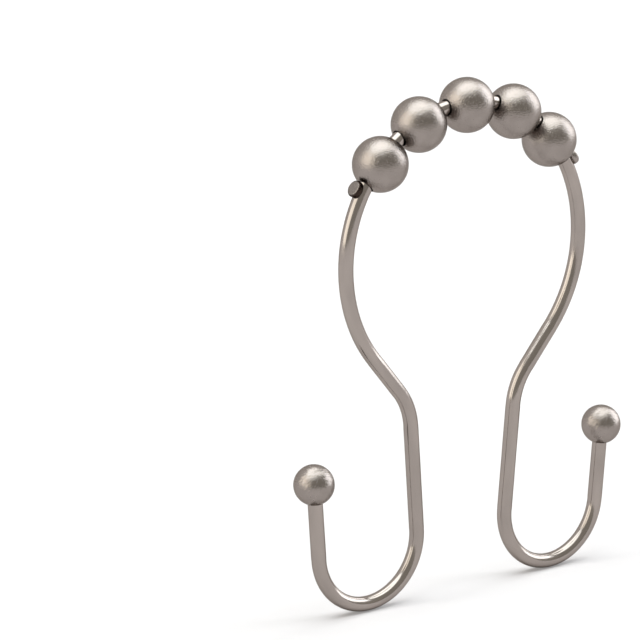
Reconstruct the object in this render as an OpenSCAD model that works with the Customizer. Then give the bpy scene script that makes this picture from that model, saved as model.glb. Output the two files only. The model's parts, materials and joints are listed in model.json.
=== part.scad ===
// Double shower curtain hook with ball rollers.
// One bent wire makes a ring round the rod, a neck, and two upturned hooks, one for the
// curtain and one for its liner. Five drilled balls turn on the top of the ring and roll
// along the rod. A small stud beyond each end roller keeps the rollers on top.
// The origin is the axis of the rod that the hook hangs on. +Y runs along the rod, +Z is up,
// and the rear hook is on the +X side. Lengths are in millimetres, angles in degrees.

/* [Rod] */
// Diameter of the rod that the hook hangs on
rod_d = 25.4; // [16:0.2:32]

/* [Wire] */
// Diameter of the wire
wire_d = 2.6; // [2:0.1:3.2]
// How much thinner the wire is round its bends, where bending has stretched it
bend_draw = 0.04; // [0.02:0.01:0.1]
// Radius of the ring, to the middle of the wire
ring_r = 25.4; // [24:0.2:34]
// Angle of the straight arms below the ring, from the vertical
arm_angle = 40; // [34:1:46]
// Straight length of each arm
arm_l = 8.6; // [4:0.2:11]
// Bend radius of the neck, where an arm turns down into a leg
neck_r = 11.4; // [6:0.2:15]
// Lean of the legs towards each other on their way down, from the vertical
leg_lean = 4.6; // [0:0.2:8]
// Straight length of each leg, from the neck to the hook
leg_l = 18.7; // [12:0.5:26]
// Bend radius of the two hooks, to the middle of the wire
hook_r = 10.5; // [8:0.25:14]
// Straight length from a hook's bend up to the centre of its tip ball
tip_l = 13.5; // [7:0.1:18]

/* [Rollers] */
// Diameter of the roller balls
roller_d = 9.5; // [7:0.1:10.4]
// Gap between the top roller and each roller beside it
top_gap = 1; // [0.3:0.05:1.4]
// Gap between an end roller and the one above it
end_gap = 0.45; // [0.3:0.05:1.4]
// Clearance between the wire and a roller's bore
bore_clearance = 0.2; // [0.1:0.05:0.4]
// Width of the bevel round each mouth of a roller's bore
mouth_bevel = 0.1; // [0.05:0.05:0.3]

/* [Stops] */
// Diameter of a stop stud's head at its widest
stop_head_d = 2.9; // [2.4:0.1:3.6]
// Thickness of a stop stud's head
stop_head_h = 1.35; // [1:0.05:1.6]
// Diameter of a stop stud's head at its seat in the wire
stop_neck_d = 2.1; // [1.6:0.1:2.3]
// Height over which a stop stud's head flares out to its widest
stop_flare_h = 0.45; // [0.4:0.05:0.7]
// Diameter of the flat face on a stop stud's head
stop_face_d = 2.4; // [1.6:0.1:2.6]
// Height of the taper from the widest part of a stop stud's head to its face
stop_crown_h = 0.25; // [0.1:0.05:0.5]
// Depth of a stop stud's seat, below the outside of the wire
stop_seat = 0.4; // [0.2:0.05:0.6]
// Diameter of a stop stud's shank
stop_shank_d = 1.2; // [0.8:0.1:1.5]
// Length of a stop stud's shank
stop_shank_l = 1; // [0.5:0.1:1.3]
// Play left between an end roller and its stop stud
stop_play = 0.1; // [0.05:0.05:0.6]

/* [Tip balls] */
// Diameter of the balls that close the two ends of the wire
tip_ball_d = 7; // [5:0.1:9]
// Depth of the socket that takes the end of the wire, from the underside of the ball
tip_socket_l = 4.4; // [3:0.1:5]
// Width of the bevel round the mouth of a tip ball's socket
socket_bevel = 0.2; // [0.05:0.05:0.4]

/* [Fits] */
// Clearance all round a stud in its hole, and round the wire in a tip ball's socket
press_clearance = 0.02; // [0.01:0.01:0.05]

/* [Hidden] */
$fn = 96;
wire_colour = [0.56, 0.53, 0.50];
ball_colour = [0.62, 0.58, 0.54];

// Wire diameter round the bends, and how far a straight runs on into them
bend_d = wire_d - bend_draw;
lap = 0.2;

// The wire is bowed with the ring, so a roller is held at its two mouths, and its axis runs
// straight from mouth to mouth, a little inside the ring. Its bore is barrelled to clear the
// bow: bore_arc_r is the arc of its wall, round the same centre as the ring.
mouth_half = sqrt(roller_d ^ 2 - bend_d ^ 2) / 2;
roller_ring_r = sqrt(ring_r ^ 2 - mouth_half ^ 2);
bore_arc_r = ring_r + bend_d / 2 + bore_clearance;

// The top roller rests on the top of the rod
ring_z = rod_d / 2 + roller_d / 2 - roller_ring_r;

// Places round the ring are angles from its top, towards the rear
function step_angle(gap) = 2 * asin((roller_d + gap) / (2 * roller_ring_r));
shoulder_angle = step_angle(top_gap);
end_angle = shoulder_angle + step_angle(end_gap);
roller_angles = [-end_angle, -shoulder_angle, 0, shoulder_angle, end_angle];

// A stop stud sits in the outside of the wire, as close to its roller as lets the widest part
// of its head clear the ball by the play
stop_floor_r = ring_r + bend_d / 2 - stop_seat;
stop_rim_r = stop_floor_r + stop_flare_h;
stop_reach = roller_d / 2 + stop_play;
stop_a = roller_ring_r * stop_head_d;
stop_b = 2 * roller_ring_r * stop_rim_r;
stop_c = roller_ring_r ^ 2 + stop_rim_r ^ 2 + stop_head_d ^ 2 / 4 - stop_reach ^ 2;
stop_angle = end_angle + atan2(stop_a, stop_b) + acos(stop_c / norm([stop_a, stop_b]));

// The wire below the ring is a chain of straights and bends, on the rear side. A place is
// [x, z], and a heading is the direction of travel from +X towards +Z.
function ahead(place, heading, l) = place + l * [cos(heading), sin(heading)];
function bend_centre(place, heading, r) = place + r * [-sin(heading), cos(heading)];
function past_bend(place, heading, r, turn) =
    bend_centre(place, heading, r) - r * [-sin(heading + turn), cos(heading + turn)];

arm_start = [ring_r * cos(arm_angle), ring_z - ring_r * sin(arm_angle)];
arm_heading = -90 - arm_angle;
neck_start = ahead(arm_start, arm_heading, arm_l);
neck_turn = arm_angle - leg_lean;
leg_heading = arm_heading + neck_turn;
leg_start = past_bend(neck_start, arm_heading, neck_r, neck_turn);
hook_start = ahead(leg_start, leg_heading, leg_l);
hook_turn = 180;
tip_heading = leg_heading + hook_turn;
tip_start = past_bend(hook_start, leg_heading, hook_r, hook_turn);
tip_centre = ahead(tip_start, tip_heading, tip_l);
socket_floor = tip_socket_l - tip_ball_d / 2;

// Puts its children at a place in the hook's plane, with their +Z along the heading
module along(place, heading) {
    translate([place[0], 0, place[1]]) rotate([0, 90 - heading, 0]) children();
}

// Puts its children on the ring, with their +Z outwards and their +X along the wire
module on_ring(angle, r) {
    translate([r * sin(angle), 0, ring_z + r * cos(angle)]) rotate([0, angle, 0]) children();
}

module front_side() {
    mirror([1, 0, 0]) children();
}

module both_sides() {
    children();
    front_side() children();
}

module straight_wire(place, heading, l, end_lap = lap) {
    along(place, heading) translate([0, 0, -lap]) cylinder(d = wire_d, h = lap + l + end_lap);
}

// An arc of wire in the hook's plane, from a first angle round its centre
module wire_arc(centre, r, first, turn) {
    translate([centre[0], 0, centre[1]]) rotate([90, 0, 0]) rotate([0, 0, first])
        rotate_extrude(angle = turn) translate([r, 0]) circle(d = bend_d);
}

module bent_wire(place, heading, r, turn) {
    wire_arc(bend_centre(place, heading, r), r, heading - 90, turn);
}

module ring() {
    wire_arc([0, ring_z], ring_r, -arm_angle, 180 + 2 * arm_angle);
}

// The rear half of the wire below the ring: arm, neck, leg, hook and tip
module lower_wire() {
    straight_wire(arm_start, arm_heading, arm_l);
    bent_wire(neck_start, arm_heading, neck_r, neck_turn);
    straight_wire(leg_start, leg_heading, leg_l);
    bent_wire(hook_start, leg_heading, hook_r, hook_turn);
    straight_wire(tip_start, tip_heading, tip_l + socket_floor, end_lap = 0);
}

// A stop stud, grown all round by a clearance, which is none for the stud itself
module stop_form(clearance = 0) {
    neck_r = stop_neck_d / 2 + clearance;
    head_r = stop_head_d / 2 + clearance;
    face_r = stop_face_d / 2 + clearance;
    crown_z = stop_head_h - stop_crown_h;
    cylinder(r1 = neck_r, r2 = head_r, h = stop_flare_h);
    translate([0, 0, stop_flare_h]) cylinder(r = head_r, h = crown_z - stop_flare_h);
    translate([0, 0, crown_z]) cylinder(r1 = head_r, r2 = face_r, h = stop_crown_h);
    translate([0, 0, -stop_shank_l]) cylinder(d = stop_shank_d + 2 * clearance, h = stop_shank_l);
}

// The countersunk blind hole that a stop stud is pressed into
module stop_recess() {
    on_ring(stop_angle, stop_floor_r) stop_form(press_clearance);
}

module hook_wire() {
    color(wire_colour) difference() {
        union() {
            ring();
            both_sides() lower_wire();
        }
        both_sides() stop_recess();
    }
}

// A cone that bevels the mouth of a bore, whose edge lies at height z on a ball
module mouth_cut(z, bore_r, bevel) {
    translate([0, 0, z - bevel]) cylinder(h = 3 * bevel, r1 = bore_r, r2 = bore_r + 3 * bevel);
}

// The space inside a roller's bore: the arc of its wall turned round the roller's axis
module barrel_bore() {
    rotate_extrude() intersection() {
        translate([-roller_ring_r, 0]) circle(r = bore_arc_r, $fn = 360);
        translate([0, -roller_d / 2]) square(roller_d);
    }
}

module roller(angle) {
    mouth_r = sqrt(bore_arc_r ^ 2 - mouth_half ^ 2) - roller_ring_r;
    mouth_z = sqrt(roller_d ^ 2 / 4 - mouth_r ^ 2);
    color(ball_colour) on_ring(angle, roller_ring_r) rotate([0, 90, 0]) difference() {
        sphere(d = roller_d);
        barrel_bore();
        mouth_cut(mouth_z, mouth_r, mouth_bevel);
        mirror([0, 0, 1]) mouth_cut(mouth_z, mouth_r, mouth_bevel);
    }
}

module stop_stud() {
    color(wire_colour) on_ring(stop_angle, stop_floor_r) stop_form();
}

module tip_ball() {
    socket_r = wire_d / 2 + press_clearance;
    mouth_z = sqrt(tip_ball_d ^ 2 / 4 - socket_r ^ 2);
    color(ball_colour) along(tip_centre, tip_heading) difference() {
        sphere(d = tip_ball_d);
        translate([0, 0, socket_floor - tip_ball_d]) cylinder(r = socket_r, h = tip_ball_d);
        mirror([0, 0, 1]) mouth_cut(mouth_z, socket_r, socket_bevel);
    }
}

hook_wire();
roller(roller_angles[0]);  // roller_1
roller(roller_angles[1]);  // roller_2
roller(roller_angles[2]);  // roller_3
roller(roller_angles[3]);  // roller_4
roller(roller_angles[4]);  // roller_5
front_side() stop_stud();  // front_stop
stop_stud();  // rear_stop
front_side() tip_ball();  // front_tip_ball
tip_ball();  // rear_tip_ball
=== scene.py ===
# Double shower curtain hook: one bent wire, five ball rollers, two stop studs, two tip balls.
# Sizes in the dictionaries are millimetres and degrees; everything is built in metres, in the
# part's own frame. The rod's axis runs along Y through the origin, and +Z is up.
import json
import math

import bmesh
import bpy
from mathutils import Matrix, Vector


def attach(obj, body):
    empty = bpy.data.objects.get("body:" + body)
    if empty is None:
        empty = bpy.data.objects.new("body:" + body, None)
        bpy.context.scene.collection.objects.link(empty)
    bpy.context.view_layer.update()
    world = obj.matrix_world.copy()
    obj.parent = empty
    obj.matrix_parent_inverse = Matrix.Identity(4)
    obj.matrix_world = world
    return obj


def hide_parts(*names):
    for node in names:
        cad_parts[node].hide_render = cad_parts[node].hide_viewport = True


mm = 0.001
weldDistance = 1e-7  # metres, as the next two are
shortestEdge = 1e-8
nearEnough = 1e-6  # within this, two places are taken as one
noChange = Matrix.Identity(4)
alongY = Vector((0, 1, 0))

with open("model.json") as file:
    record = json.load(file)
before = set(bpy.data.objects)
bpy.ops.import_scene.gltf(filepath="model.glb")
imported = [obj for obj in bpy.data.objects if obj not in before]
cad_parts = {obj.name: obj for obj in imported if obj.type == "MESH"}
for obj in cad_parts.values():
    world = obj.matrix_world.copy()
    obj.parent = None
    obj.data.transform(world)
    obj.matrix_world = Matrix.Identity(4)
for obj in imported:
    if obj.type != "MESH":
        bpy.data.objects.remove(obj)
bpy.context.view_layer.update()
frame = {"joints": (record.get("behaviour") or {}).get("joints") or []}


# Camera
cameraSetup = {
    "place": (-366.66, -449.93, 126.48),
    "turn": (75.8205, -0.2333, -36.6891),
    "lens": 196.597, "sensor": 36,  # for a square picture
    "nearest": 10, "farthest": 50000,
}


def makeCamera(setup):
    cameraData = bpy.data.cameras.new("photoCamera")
    cameraData.sensor_width = setup["sensor"]
    cameraData.lens = setup["lens"]
    cameraData.clip_start = setup["nearest"] * mm
    cameraData.clip_end = setup["farthest"] * mm
    cameraObject = bpy.data.objects.new("photoCamera", cameraData)
    cameraObject.location = Vector(setup["place"]) * mm
    cameraObject.rotation_euler = [math.radians(angle) for angle in setup["turn"]]
    bpy.context.scene.collection.objects.link(cameraObject)
    bpy.context.scene.camera = cameraObject


makeCamera(cameraSetup)
print("camera placed")


# Small helpers
def vertsOf(found):
    return [item for item in found if isinstance(item, bmesh.types.BMVert)]


def edgesOf(found):
    return [item for item in found if isinstance(item, bmesh.types.BMEdge)]


# Writes a bmesh to a new object that sits at the origin, with faces outwards
def finishPiece(bm, pieceName, finish, sharpAngle):
    bmesh.ops.recalc_face_normals(bm, faces=bm.faces)
    for face in bm.faces:
        face.smooth = True
    mesh = bpy.data.meshes.new(pieceName)
    bm.to_mesh(mesh)
    bm.free()
    mesh.set_sharp_from_angle(angle=math.radians(sharpAngle))
    mesh.materials.append(finish)
    piece = bpy.data.objects.new(pieceName, mesh)
    bpy.context.scene.collection.objects.link(piece)
    return piece


# Turns a profile of edges in the XZ plane into a closed round body on the Z axis
def turnOnLathe(bm, steps):
    bmesh.ops.spin(bm, geom=bm.verts[:] + bm.edges[:], cent=(0, 0, 0), axis=(0, 0, 1),
                   dvec=(0, 0, 0), angle=math.tau, steps=steps, use_merge=True,
                   use_duplicate=False)
    bmesh.ops.remove_doubles(bm, verts=bm.verts, dist=weldDistance)
    bmesh.ops.dissolve_degenerate(bm, dist=shortestEdge, edges=bm.edges)


# Grows an arc of edges from a corner of a profile and returns the vertex at its far end
def growArc(bm, corner, centre, angle, steps):
    arc = bmesh.ops.spin(bm, geom=[corner], cent=centre, axis=(0, 1, 0), dvec=(0, 0, 0),
                         angle=angle, steps=steps, use_merge=False, use_duplicate=False)
    return vertsOf(arc["geom_last"])[0]


# Grows straight edges of a profile through a list of (radius, height)
def growStraights(bm, corner, places):
    for radius, height in places:
        grown = bmesh.ops.extrude_vert_indiv(bm, verts=[corner])
        corner = grown["verts"][0]
        corner.co = Vector((radius, 0, height))
    return corner


# Keeps every vertex's place on the lathe for the finish, then moves the body to its seat
def seatOnPart(bm, seat):
    turnedAt = bm.verts.layers.float_vector.new("turnedAt")
    for vert in bm.verts:
        vert[turnedAt] = vert.co
    bmesh.ops.transform(bm, matrix=seat, space=noChange, verts=bm.verts)


# Rounds the edges that lie wholly on one of the rims, given as (radius, height)
def bevelRims(bm, width, segments, rims):
    rimEdges = [edge for edge in bm.edges if any(
        all(abs(vert.co.xy.length - radius) < nearEnough and abs(vert.co.z - height) < nearEnough
            for vert in edge.verts) for radius, height in rims)]
    bmesh.ops.bevel(bm, geom=rimEdges, offset=width, offset_type="OFFSET", segments=segments,
                    profile=0.5, affect="EDGES", material=-1, clamp_overlap=True)


# Finishes
noiseSpan = (0.3, 0.7)  # most of a noise's values lie between these


def newFinish(finishName, settings):
    finish = bpy.data.materials.new(finishName)
    finish.use_nodes = True
    nodes = finish.node_tree.nodes
    shader = nodes["Principled BSDF"]
    shader.inputs["Metallic"].default_value = 1
    shader.inputs["Specular Tint"].default_value = (*settings["edgeTint"], 1)
    return finish, nodes, finish.node_tree.links, shader


def addNode(nodes, kind, **values):
    node = nodes.new(kind)
    for name, value in values.items():
        setattr(node, name, value)
    return node


def numberNode(nodes, links, operation, first, second):
    node = addNode(nodes, "ShaderNodeMath", operation=operation)
    for socket, value in zip(node.inputs, (first, second)):
        if isinstance(value, bpy.types.NodeSocket):
            links.new(value, socket)
        else:
            socket.default_value = value
    return node.outputs[0]


def noiseNode(nodes, links, place, scale, detail=2, roughness=0.5):
    mapping = addNode(nodes, "ShaderNodeMapping")
    mapping.inputs["Scale"].default_value = scale
    links.new(place, mapping.inputs["Vector"])
    noise = addNode(nodes, "ShaderNodeTexNoise", noise_dimensions="3D")
    noise.inputs["Scale"].default_value = 1
    noise.inputs["Detail"].default_value = detail
    noise.inputs["Roughness"].default_value = roughness
    links.new(mapping.outputs["Vector"], noise.inputs["Vector"])
    return noise.outputs["Fac"]


# The scale of a noise whose cells are this many millimetres wide
def cellScale(width):
    return 1 / (width * mm)


def rangeNode(nodes, links, value, low, high, span=noiseSpan):
    node = addNode(nodes, "ShaderNodeMapRange")
    links.new(value, node.inputs["Value"])
    for name, number in (("From Min", span[0]), ("From Max", span[1]),
                         ("To Min", low), ("To Max", high)):
        node.inputs[name].default_value = number
    return node.outputs["Result"]


def colourNode(nodes, links, value, dark, light, span=noiseSpan):
    ramp = addNode(nodes, "ShaderNodeValToRGB")
    for element, position, colour in zip(ramp.color_ramp.elements, span, (dark, light)):
        element.position = position
        element.color = (*colour, 1)
    links.new(value, ramp.inputs["Fac"])
    return ramp.outputs["Color"]


# Joins a finish's colour, the roughness of its grain and its relief to the shader
def joinFinish(nodes, links, shader, settings, colour, grain, relief):
    links.new(colour, shader.inputs["Base Color"])
    links.new(rangeNode(nodes, links, grain, settings["roughLow"], settings["roughHigh"]),
              shader.inputs["Roughness"])
    bump = addNode(nodes, "ShaderNodeBump")
    bump.inputs["Strength"].default_value = 1
    bump.inputs["Distance"].default_value = settings["grainDepth"] * mm
    links.new(relief, bump.inputs["Height"])
    links.new(bump.outputs["Normal"], shader.inputs["Normal"])


# Satin nickel on drawn wire: fine lines that follow the wire round its bends
wireFinish = {
    "dark": (0.293, 0.256, 0.234), "light": (0.349, 0.305, 0.279),
    "edgeTint": (0.50, 0.48, 0.46), "roughLow": 0.13, "roughHigh": 0.20,
    "lineWidth": 0.26, "lineLength": 9.0, "cloudWidth": 2.34, "grainDepth": 0.006,
    "grainDetail": 3, "grainRoughness": 0.6,
}


def makeWireFinish(settings):
    finish, nodes, links, shader = newFinish("drawnSatinNickel", settings)
    drawnAt = addNode(nodes, "ShaderNodeAttribute", attribute_name="drawnAt").outputs["Vector"]
    across = cellScale(settings["lineWidth"])
    cloudAcross = cellScale(settings["cloudWidth"])
    along = cellScale(settings["lineLength"])
    lines = noiseNode(nodes, links, drawnAt, (across, across, along),
                      settings["grainDetail"], settings["grainRoughness"])
    cloud = noiseNode(nodes, links, drawnAt, (cloudAcross, cloudAcross, along))
    colour = colourNode(nodes, links, cloud, settings["dark"], settings["light"])
    joinFinish(nodes, links, shader, settings, colour, lines, lines)
    return finish


# Satin nickel on the balls: an even fine grain, as from tumbling
ballFinish = {
    "dark": (0.257, 0.224, 0.205), "light": (0.290, 0.253, 0.233),
    "edgeTint": (0.55, 0.53, 0.51), "roughLow": 0.22, "roughHigh": 0.28,
    "grainWidth": 0.25, "cloudWidth": 2.4, "grainDepth": 0.065,
    "grainDetail": 2, "grainRoughness": 0.6,
}
# The tip balls are brushed outwards from a pole on their front
tipFinish = dict(ballFinish, brushPole=(-0.198, -0.751, 0.632), strokesRound=5.0,
                 strokesAlong=2.5, grainDetail=3, grainDepth=0.22)
# The front stud is painted darker than the rear one, and its flank outside the pressed face dark
# brown: both painted shade
paintedShadeStudFinish = dict(ballFinish, dark=(0.205, 0.180, 0.166), light=(0.232, 0.204, 0.189),
                  paintedShade=(0.036, 0.025, 0.020), paintedShadeFrom=1.10, paintedShadeTo=1.34)


def vectorNode(nodes, links, operation, *values):
    node = addNode(nodes, "ShaderNodeVectorMath", operation=operation)
    for number, value in enumerate(values):
        socket = node.inputs["Scale" if operation == "SCALE" and number == 1 else number]
        if isinstance(value, bpy.types.NodeSocket):
            links.new(value, socket)
        else:
            socket.default_value = value
    return node.outputs["Value" if operation in ("DOT_PRODUCT", "LENGTH") else "Vector"]


# Strokes along the meridians of a pole, which get shallower as they close up towards it
def brushedGrain(nodes, links, place, settings):
    pole = settings["brushPole"]
    outward = vectorNode(nodes, links, "NORMALIZE", place)
    height = vectorNode(nodes, links, "DOT_PRODUCT", outward, pole)
    upPart = vectorNode(nodes, links, "SCALE", pole, height)
    sidePart = vectorNode(nodes, links, "SUBTRACT", outward, upPart)
    sideways = vectorNode(nodes, links, "NORMALIZE", sidePart)
    away = numberNode(nodes, links, "ARCCOSINE", height, 0)
    along = numberNode(nodes, links, "MULTIPLY", away, settings["strokesAlong"])
    spread = vectorNode(nodes, links, "ADD", vectorNode(nodes, links, "SCALE", pole, along),
                        vectorNode(nodes, links, "SCALE", sideways, settings["strokesRound"]))
    strokes = noiseNode(nodes, links, spread, (1, 1, 1), settings["grainDetail"],
                        settings["grainRoughness"])
    relief = numberNode(nodes, links, "MULTIPLY", strokes,
                        vectorNode(nodes, links, "LENGTH", sidePart))
    return strokes, relief


# Lays a painted shade, dark brown, over a colour outside the stud's flat face
def paintedShadeColour(nodes, links, colour, place, settings):
    flat = vectorNode(nodes, links, "MULTIPLY", place, (1, 1, 0))
    fromAxis = vectorNode(nodes, links, "LENGTH", flat)
    share = rangeNode(nodes, links, fromAxis, 0, 1,
                      (settings["paintedShadeFrom"] * mm, settings["paintedShadeTo"] * mm))
    mix = addNode(nodes, "ShaderNodeMix", data_type="RGBA")
    links.new(share, mix.inputs["Factor"])
    links.new(colour, mix.inputs["A"])
    mix.inputs["B"].default_value = (*settings["paintedShade"], 1)
    return mix.outputs["Result"]


def makeBallFinish(finishName, settings):
    finish, nodes, links, shader = newFinish(finishName, settings)
    turnedAt = addNode(nodes, "ShaderNodeAttribute", attribute_name="turnedAt").outputs["Vector"]
    if "brushPole" in settings:
        grain, relief = brushedGrain(nodes, links, turnedAt, settings)
    else:
        grain = noiseNode(nodes, links, turnedAt, (cellScale(settings["grainWidth"]),) * 3,
                          settings["grainDetail"], settings["grainRoughness"])
        relief = grain
    cloud = noiseNode(nodes, links, turnedAt, (cellScale(settings["cloudWidth"]),) * 3)
    colour = colourNode(nodes, links, cloud, settings["dark"], settings["light"])
    if "paintedShade" in settings:
        colour = paintedShadeColour(nodes, links, colour, turnedAt, settings)
    joinFinish(nodes, links, shader, settings, colour, grain, relief)
    return finish


wireMetal = makeWireFinish(wireFinish)
rollerMetal = makeBallFinish("tumbledSatinNickel", ballFinish)
tipMetal = makeBallFinish("brushedSatinNickel", tipFinish)
# The front stud's finish: the ball finish painted darker, with painted shade on its flank
paintedShadeMetal = makeBallFinish("paintedShadeSatinNickel", paintedShadeStudFinish)
print("finishes made")


# The bent wire
wire = {
    "width": 2.6, "bentWidth": 2.56, "taper": 0.3, "sides": 40, "bendStep": 2.5,
    "straightSteps": 4, "sharpAngle": 40,
    "ringRadius": 25.4, "ringHeight": -7.5347, "armAngle": 40.0, "armLength": 8.6,
    "neckRadius": 11.4, "legLean": 4.6, "legLength": 18.7,
    "hookRadius": 10.5, "tipLength": 13.5, "inSocket": 0.9,
}


# The rear half of the wire, from the top of the ring to its end. Each stretch is straight, with
# a length, or bent, with a radius and a turn.
def wireRoute(sizes):
    return [
        {"radius": sizes["ringRadius"], "turn": -90 - sizes["armAngle"]},
        {"length": sizes["armLength"]},
        {"radius": sizes["neckRadius"], "turn": sizes["armAngle"] - sizes["legLean"]},
        {"length": sizes["legLength"]},
        {"radius": sizes["hookRadius"], "turn": 180.0},
        {"length": sizes["tipLength"] + sizes["inSocket"], "free": True},
    ]


# Splits the route into small moves: (matrix of the move, its run, the width at its end)
def wireMoves(sizes):
    moves = []
    for stretch in wireRoute(sizes):
        if "turn" in stretch:
            count = round(abs(stretch["turn"]) / sizes["bendStep"])
            angle = math.radians(stretch["turn"]) / count
            centre = Vector((math.copysign(stretch["radius"] * mm, angle), 0, 0))
            move = (Matrix.Translation(centre) @ Matrix.Rotation(angle, 4, "Y")
                    @ Matrix.Translation(-centre))
            run = abs(angle) * stretch["radius"] * mm
            moves += [(move, run, sizes["bentWidth"])] * count
        else:
            taper = sizes["taper"]
            free = stretch.get("free", False)  # the wire ends here, so no taper leads on
            middle = stretch["length"] - taper * (1 if free else 2)
            count = sizes["straightSteps"]
            steps = [(taper, sizes["width"])] + [(middle / count, sizes["width"])] * count
            if not free:
                steps.append((taper, sizes["bentWidth"]))
            for length, width in steps:
                moves.append((Matrix.Translation((0, 0, length * mm)), length * mm, width))
    return moves


def makeWire(sizes):
    bm = bmesh.new()
    drawnAt = bm.verts.layers.float_vector.new("drawnAt")
    bmesh.ops.create_circle(bm, cap_ends=False, segments=sizes["sides"],
                            radius=sizes["bentWidth"] / 2 * mm)
    for vert in bm.verts:
        vert[drawnAt] = vert.co
    top = (sizes["ringHeight"] + sizes["ringRadius"]) * mm
    place = Matrix(((0, 0, 1, 0), (0, -1, 0, 0), (1, 0, 0, top), (0, 0, 0, 1)))
    bmesh.ops.transform(bm, matrix=place, space=noChange, verts=bm.verts)
    rim = bm.edges[:]
    run = 0
    width = sizes["bentWidth"]
    for move, length, nextWidth in wireMoves(sizes):
        grown = bmesh.ops.extrude_edge_only(bm, edges=rim)["geom"]
        ring = set(vertsOf(grown))
        rim = [edge for edge in edgesOf(grown) if set(edge.verts) <= ring]
        squeeze = nextWidth / width
        here = place @ move @ Matrix.Diagonal((squeeze, squeeze, 1, 1)) @ place.inverted()
        bmesh.ops.transform(bm, matrix=here, space=noChange, verts=list(ring))
        place = place @ move
        run += length
        width = nextWidth
        for vert in ring:
            vert[drawnAt].z = run
    bmesh.ops.edgeloop_fill(bm, edges=rim)
    mirrored = bmesh.ops.mirror(bm, geom=bm.verts[:] + bm.edges[:] + bm.faces[:],
                                matrix=noChange, merge_dist=weldDistance, axis="X")
    for vert in vertsOf(mirrored["geom"]):
        if vert.co.x < -nearEnough:
            vert[drawnAt].z = -vert[drawnAt].z
    bmesh.ops.remove_doubles(bm, verts=bm.verts, dist=weldDistance)
    return finishPiece(bm, "bentWire", wireMetal, sizes["sharpAngle"])


bentWire = makeWire(wire)
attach(bentWire, "root")
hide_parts("hook_wire")
print("wire bent:", len(bentWire.data.polygons), "faces")


# Ball rollers
roller = {
    "ballWidth": 9.5, "ringRadius": 24.9847, "boreArcRadius": 26.88, "lipRadius": 1.5032,
    "lipBevel": 0.1, "bevelSteps": 3, "ballSteps": 44, "boreSteps": 12, "turnSteps": 80,
    "sharpAngle": 60,
}


def makeRoller(pieceName, joint, sizes):
    ballRadius = sizes["ballWidth"] / 2 * mm
    lipRadius = sizes["lipRadius"] * mm
    lipHeight = math.sqrt(ballRadius ** 2 - lipRadius ** 2)
    lipAngle = math.atan2(lipRadius, lipHeight)
    boreAngle = 2 * math.asin(lipHeight / (sizes["boreArcRadius"] * mm))
    boreCentre = (-sizes["ringRadius"] * mm, 0, 0)
    bm = bmesh.new()
    lip = bm.verts.new((lipRadius, 0, lipHeight))
    growArc(bm, lip, (0, 0, 0), math.pi - 2 * lipAngle, sizes["ballSteps"])
    growArc(bm, lip, boreCentre, boreAngle, sizes["boreSteps"])
    bmesh.ops.remove_doubles(bm, verts=bm.verts, dist=nearEnough)
    turnOnLathe(bm, sizes["turnSteps"])
    bevelRims(bm, sizes["lipBevel"] * mm, sizes["bevelSteps"],
              ((lipRadius, lipHeight), (lipRadius, -lipHeight)))
    axis = Vector(joint["axis"])
    seat = (Matrix.Translation(joint["pos_m"])
            @ Matrix((axis.cross(alongY), alongY, axis)).transposed().to_4x4())
    seatOnPart(bm, seat)
    return finishPiece(bm, pieceName, rollerMetal, sizes["sharpAngle"])


for joint in frame["joints"]:
    number = joint["child"].split("_")[-1]
    ball = makeRoller("rollerBall" + number, joint, roller)
    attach(ball, joint["child"])
    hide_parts(joint["child"])


# Stop studs
stud = {
    "headWidth": 2.9, "headHeight": 1.35, "neckWidth": 2.1, "flareHeight": 0.45,
    "faceWidth": 2.4, "innerFaceWidth": 1.44, "crownHeight": 0.25, "shankWidth": 1.2,
    "shankLength": 1.0, "rimBevel": 0.12, "bevelSteps": 4, "fromTop": 60.3399,
    "seatRadius": 26.28, "turnSteps": 64, "sharpAngle": 50,
}


def makeStud(pieceName, side, finish, sizes):
    headRadius = sizes["headWidth"] / 2 * mm
    neckRadius = sizes["neckWidth"] / 2 * mm
    faceRadius = sizes["faceWidth"] / 2 * mm
    innerFaceRadius = sizes["innerFaceWidth"] / 2 * mm
    shankRadius = sizes["shankWidth"] / 2 * mm
    shankEnd = -sizes["shankLength"] * mm
    headTop = sizes["headHeight"] * mm
    flareTop = sizes["flareHeight"] * mm
    crownFoot = headTop - sizes["crownHeight"] * mm
    bm = bmesh.new()
    start = bm.verts.new((0, 0, shankEnd))
    growStraights(bm, start, [
        (shankRadius, shankEnd), (shankRadius, 0), (neckRadius, 0), (headRadius, flareTop),
        (headRadius, crownFoot), (faceRadius, headTop), (innerFaceRadius, headTop),
        (0, headTop)])
    turnOnLathe(bm, sizes["turnSteps"])
    bevelRims(bm, sizes["rimBevel"] * mm, sizes["bevelSteps"],
              ((headRadius, flareTop), (headRadius, crownFoot), (faceRadius, headTop)))
    seat = (Matrix.Translation((0, 0, wire["ringHeight"] * mm))
            @ Matrix.Rotation(side * math.radians(sizes["fromTop"]), 4, "Y")
            @ Matrix.Translation((0, 0, sizes["seatRadius"] * mm)))
    seatOnPart(bm, seat)
    return finishPiece(bm, pieceName, finish, sizes["sharpAngle"])


# The front stud takes the finish with painted shade; the rear stud takes the plain ball finish
for pieceName, node, side, finish in (("frontStopStud", "front_stop", -1, paintedShadeMetal),
                                      ("rearStopStud", "rear_stop", 1, rollerMetal)):
    stopStud = makeStud(pieceName, side, finish, stud)
    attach(stopStud, "root")
    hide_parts(node)
print("stop studs made: 2")


# Tip balls
tip = {
    "ballWidth": 7.0, "socketWidth": 2.64, "socketTop": 0.9, "mouthBevel": 0.2,
    "bevelSteps": 3, "place": (31.8145, -43.7304), "lean": 4.6, "ballSteps": 44,
    "turnSteps": 80, "sharpAngle": 60,
}


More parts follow.
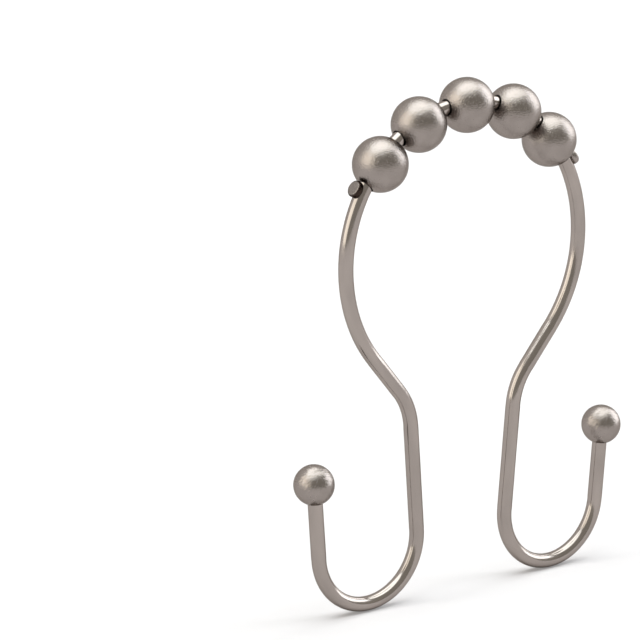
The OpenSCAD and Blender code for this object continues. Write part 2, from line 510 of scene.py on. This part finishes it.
def makeTipBall(pieceName, side, sizes):
    ballRadius = sizes["ballWidth"] / 2 * mm
    socketRadius = sizes["socketWidth"] / 2 * mm
    mouthHeight = -math.sqrt(ballRadius ** 2 - socketRadius ** 2)
    mouthAngle = math.pi - math.atan2(socketRadius, -mouthHeight)
    bm = bmesh.new()
    mouth = bm.verts.new((socketRadius, 0, mouthHeight))
    growArc(bm, mouth, (0, 0, 0), -mouthAngle, sizes["ballSteps"])
    growStraights(bm, mouth, [(socketRadius, sizes["socketTop"] * mm),
                              (0, sizes["socketTop"] * mm)])
    turnOnLathe(bm, sizes["turnSteps"])
    bevelRims(bm, sizes["mouthBevel"] * mm, sizes["bevelSteps"],
              ((socketRadius, mouthHeight),))
    seat = (Matrix.Translation((side * sizes["place"][0] * mm, 0, sizes["place"][1] * mm))
            @ Matrix.Rotation(side * math.radians(sizes["lean"]), 4, "Y"))
    seatOnPart(bm, seat)
    return finishPiece(bm, pieceName, tipMetal, sizes["sharpAngle"])


for pieceName, node, side in (("frontTipBall", "front_tip_ball", -1),
                              ("rearTipBall", "rear_tip_ball", 1)):
    tipBall = makeTipBall(pieceName, side, tip)
    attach(tipBall, "root")
    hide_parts(node)
print("tip balls turned: 2")


# Is 1 for the rays that show a surface to the camera, straight or in a reflection
def seenRay(nodes, links):
    path = addNode(nodes, "ShaderNodeLightPath")
    shiny = numberNode(nodes, links, "MAXIMUM", path.outputs["Is Glossy Ray"],
                       path.outputs["Is Transmission Ray"])
    return numberNode(nodes, links, "MAXIMUM", shiny, path.outputs["Is Camera Ray"])


# Floor
floor = {
    "reach": 14000, "height": -68.125, "colour": (0.645, 0.60, 0.595), "roughness": 0.9,
    "glow": 0.21, "farGlow": 1.0, "paleFrom": 1500, "paleTo": 7000, "sharpAngle": 40,
}


def makeFloor(sizes):
    bm = bmesh.new()
    bmesh.ops.create_grid(bm, x_segments=2, y_segments=2, size=sizes["reach"] * mm)
    bmesh.ops.translate(bm, vec=(0, 0, sizes["height"] * mm), verts=bm.verts)
    finish = bpy.data.materials.new("whitePaper")
    finish.use_nodes = True
    shader = finish.node_tree.nodes["Principled BSDF"]
    shader.inputs["Base Color"].default_value = (*sizes["colour"], 1)
    shader.inputs["Roughness"].default_value = sizes["roughness"]
    shader.inputs["Specular IOR Level"].default_value = 0
    shader.inputs["Emission Color"].default_value = (1, 1, 1, 1)
    nodes = finish.node_tree.nodes
    links = finish.node_tree.links
    # Past the lamps' light the paper glows more, so that it stays white up to its far edge
    place = addNode(nodes, "ShaderNodeTexCoord").outputs["Object"]
    away = vectorNode(nodes, links, "LENGTH", place)
    glow = rangeNode(nodes, links, away, sizes["glow"], sizes["farGlow"],
                     (sizes["paleFrom"] * mm, sizes["paleTo"] * mm))
    links.new(numberNode(nodes, links, "MULTIPLY", glow, seenRay(nodes, links)),
              shader.inputs["Emission Strength"])
    return finishPiece(bm, "paperFloor", finish, sizes["sharpAngle"])


makeFloor(floor)


# Lights: soft boxes, by their azimuth from +X, elevation, width and height in degrees, all as
# seen from the hook. A brightness of 1 is that of white paper.
softBoxes = {
    "overheadBox": {"azimuth": 0, "elevation": 90, "width": 82, "height": 59,
                    "brightness": 3.15, "colour": (0.92, 1.0, 1.01), "shape": "ELLIPSE"},
    "frontBox": {"azimuth": 173, "elevation": 25, "width": 50, "height": 46,
                 "brightness": 2.0, "colour": (1.0, 0.985, 0.88), "shape": "RECTANGLE"},
    "rearBox": {"azimuth": -8, "elevation": 23, "width": 48, "height": 44,
                "brightness": 3.9, "colour": (0.90, 0.97, 1.03), "shape": "RECTANGLE"},
}
boxDistance = 6.0  # metres


def makeSoftBox(boxName, box):
    azimuth = math.radians(box["azimuth"])
    elevation = math.radians(box["elevation"])
    away = Vector((math.cos(azimuth) * math.cos(elevation),
                   math.sin(azimuth) * math.cos(elevation), math.sin(elevation)))
    lamp = bpy.data.lights.new(boxName, "AREA")
    lamp.shape = box["shape"]
    lamp.size = 2 * boxDistance * math.tan(math.radians(box["width"] / 2))
    lamp.size_y = 2 * boxDistance * math.tan(math.radians(box["height"] / 2))
    corners = 1 if box["shape"] == "RECTANGLE" else math.pi / 4
    lamp.energy = math.pi * corners * lamp.size * lamp.size_y * box["brightness"]
    lamp.color = box["colour"]
    lampObject = bpy.data.objects.new(boxName, lamp)
    lampObject.location = away * boxDistance
    lampObject.rotation_euler = away.to_track_quat("Z", "Y").to_euler()
    bpy.context.scene.collection.objects.link(lampObject)


for boxName, box in softBoxes.items():
    makeSoftBox(boxName, box)

studio = {"open": (0.50, 0.49, 0.45), "wall": (1.0, 0.99, 0.97), "blend": (0.25, 0.75),
          "fill": 0.03}


# The studio round the hook: a pale wall towards +Y, and the darker open room towards -Y, which
# only the metal sees
def makeStudio(tones):
    world = bpy.data.worlds.new("studio")
    world.use_nodes = True
    bpy.context.scene.world = world
    nodes = world.node_tree.nodes
    links = world.node_tree.links
    direction = addNode(nodes, "ShaderNodeTexCoord").outputs["Generated"]
    split = addNode(nodes, "ShaderNodeSeparateXYZ")
    links.new(direction, split.inputs[0])
    towardsWall = rangeNode(nodes, links, split.outputs["Y"], 0, 1, (-1, 1))
    camera = addNode(nodes, "ShaderNodeLightPath").outputs["Is Camera Ray"]
    share = numberNode(nodes, links, "MAXIMUM", towardsWall, camera)
    colour = colourNode(nodes, links, share, tones["open"], tones["wall"], tones["blend"])
    links.new(colour, nodes["Background"].inputs["Color"])
    strength = rangeNode(nodes, links, seenRay(nodes, links), tones["fill"], 1, (0, 1))
    links.new(strength, nodes["Background"].inputs["Strength"])


makeStudio(studio)
bpy.context.scene.view_settings.view_transform = "Standard"
print("floor, lights and studio set")
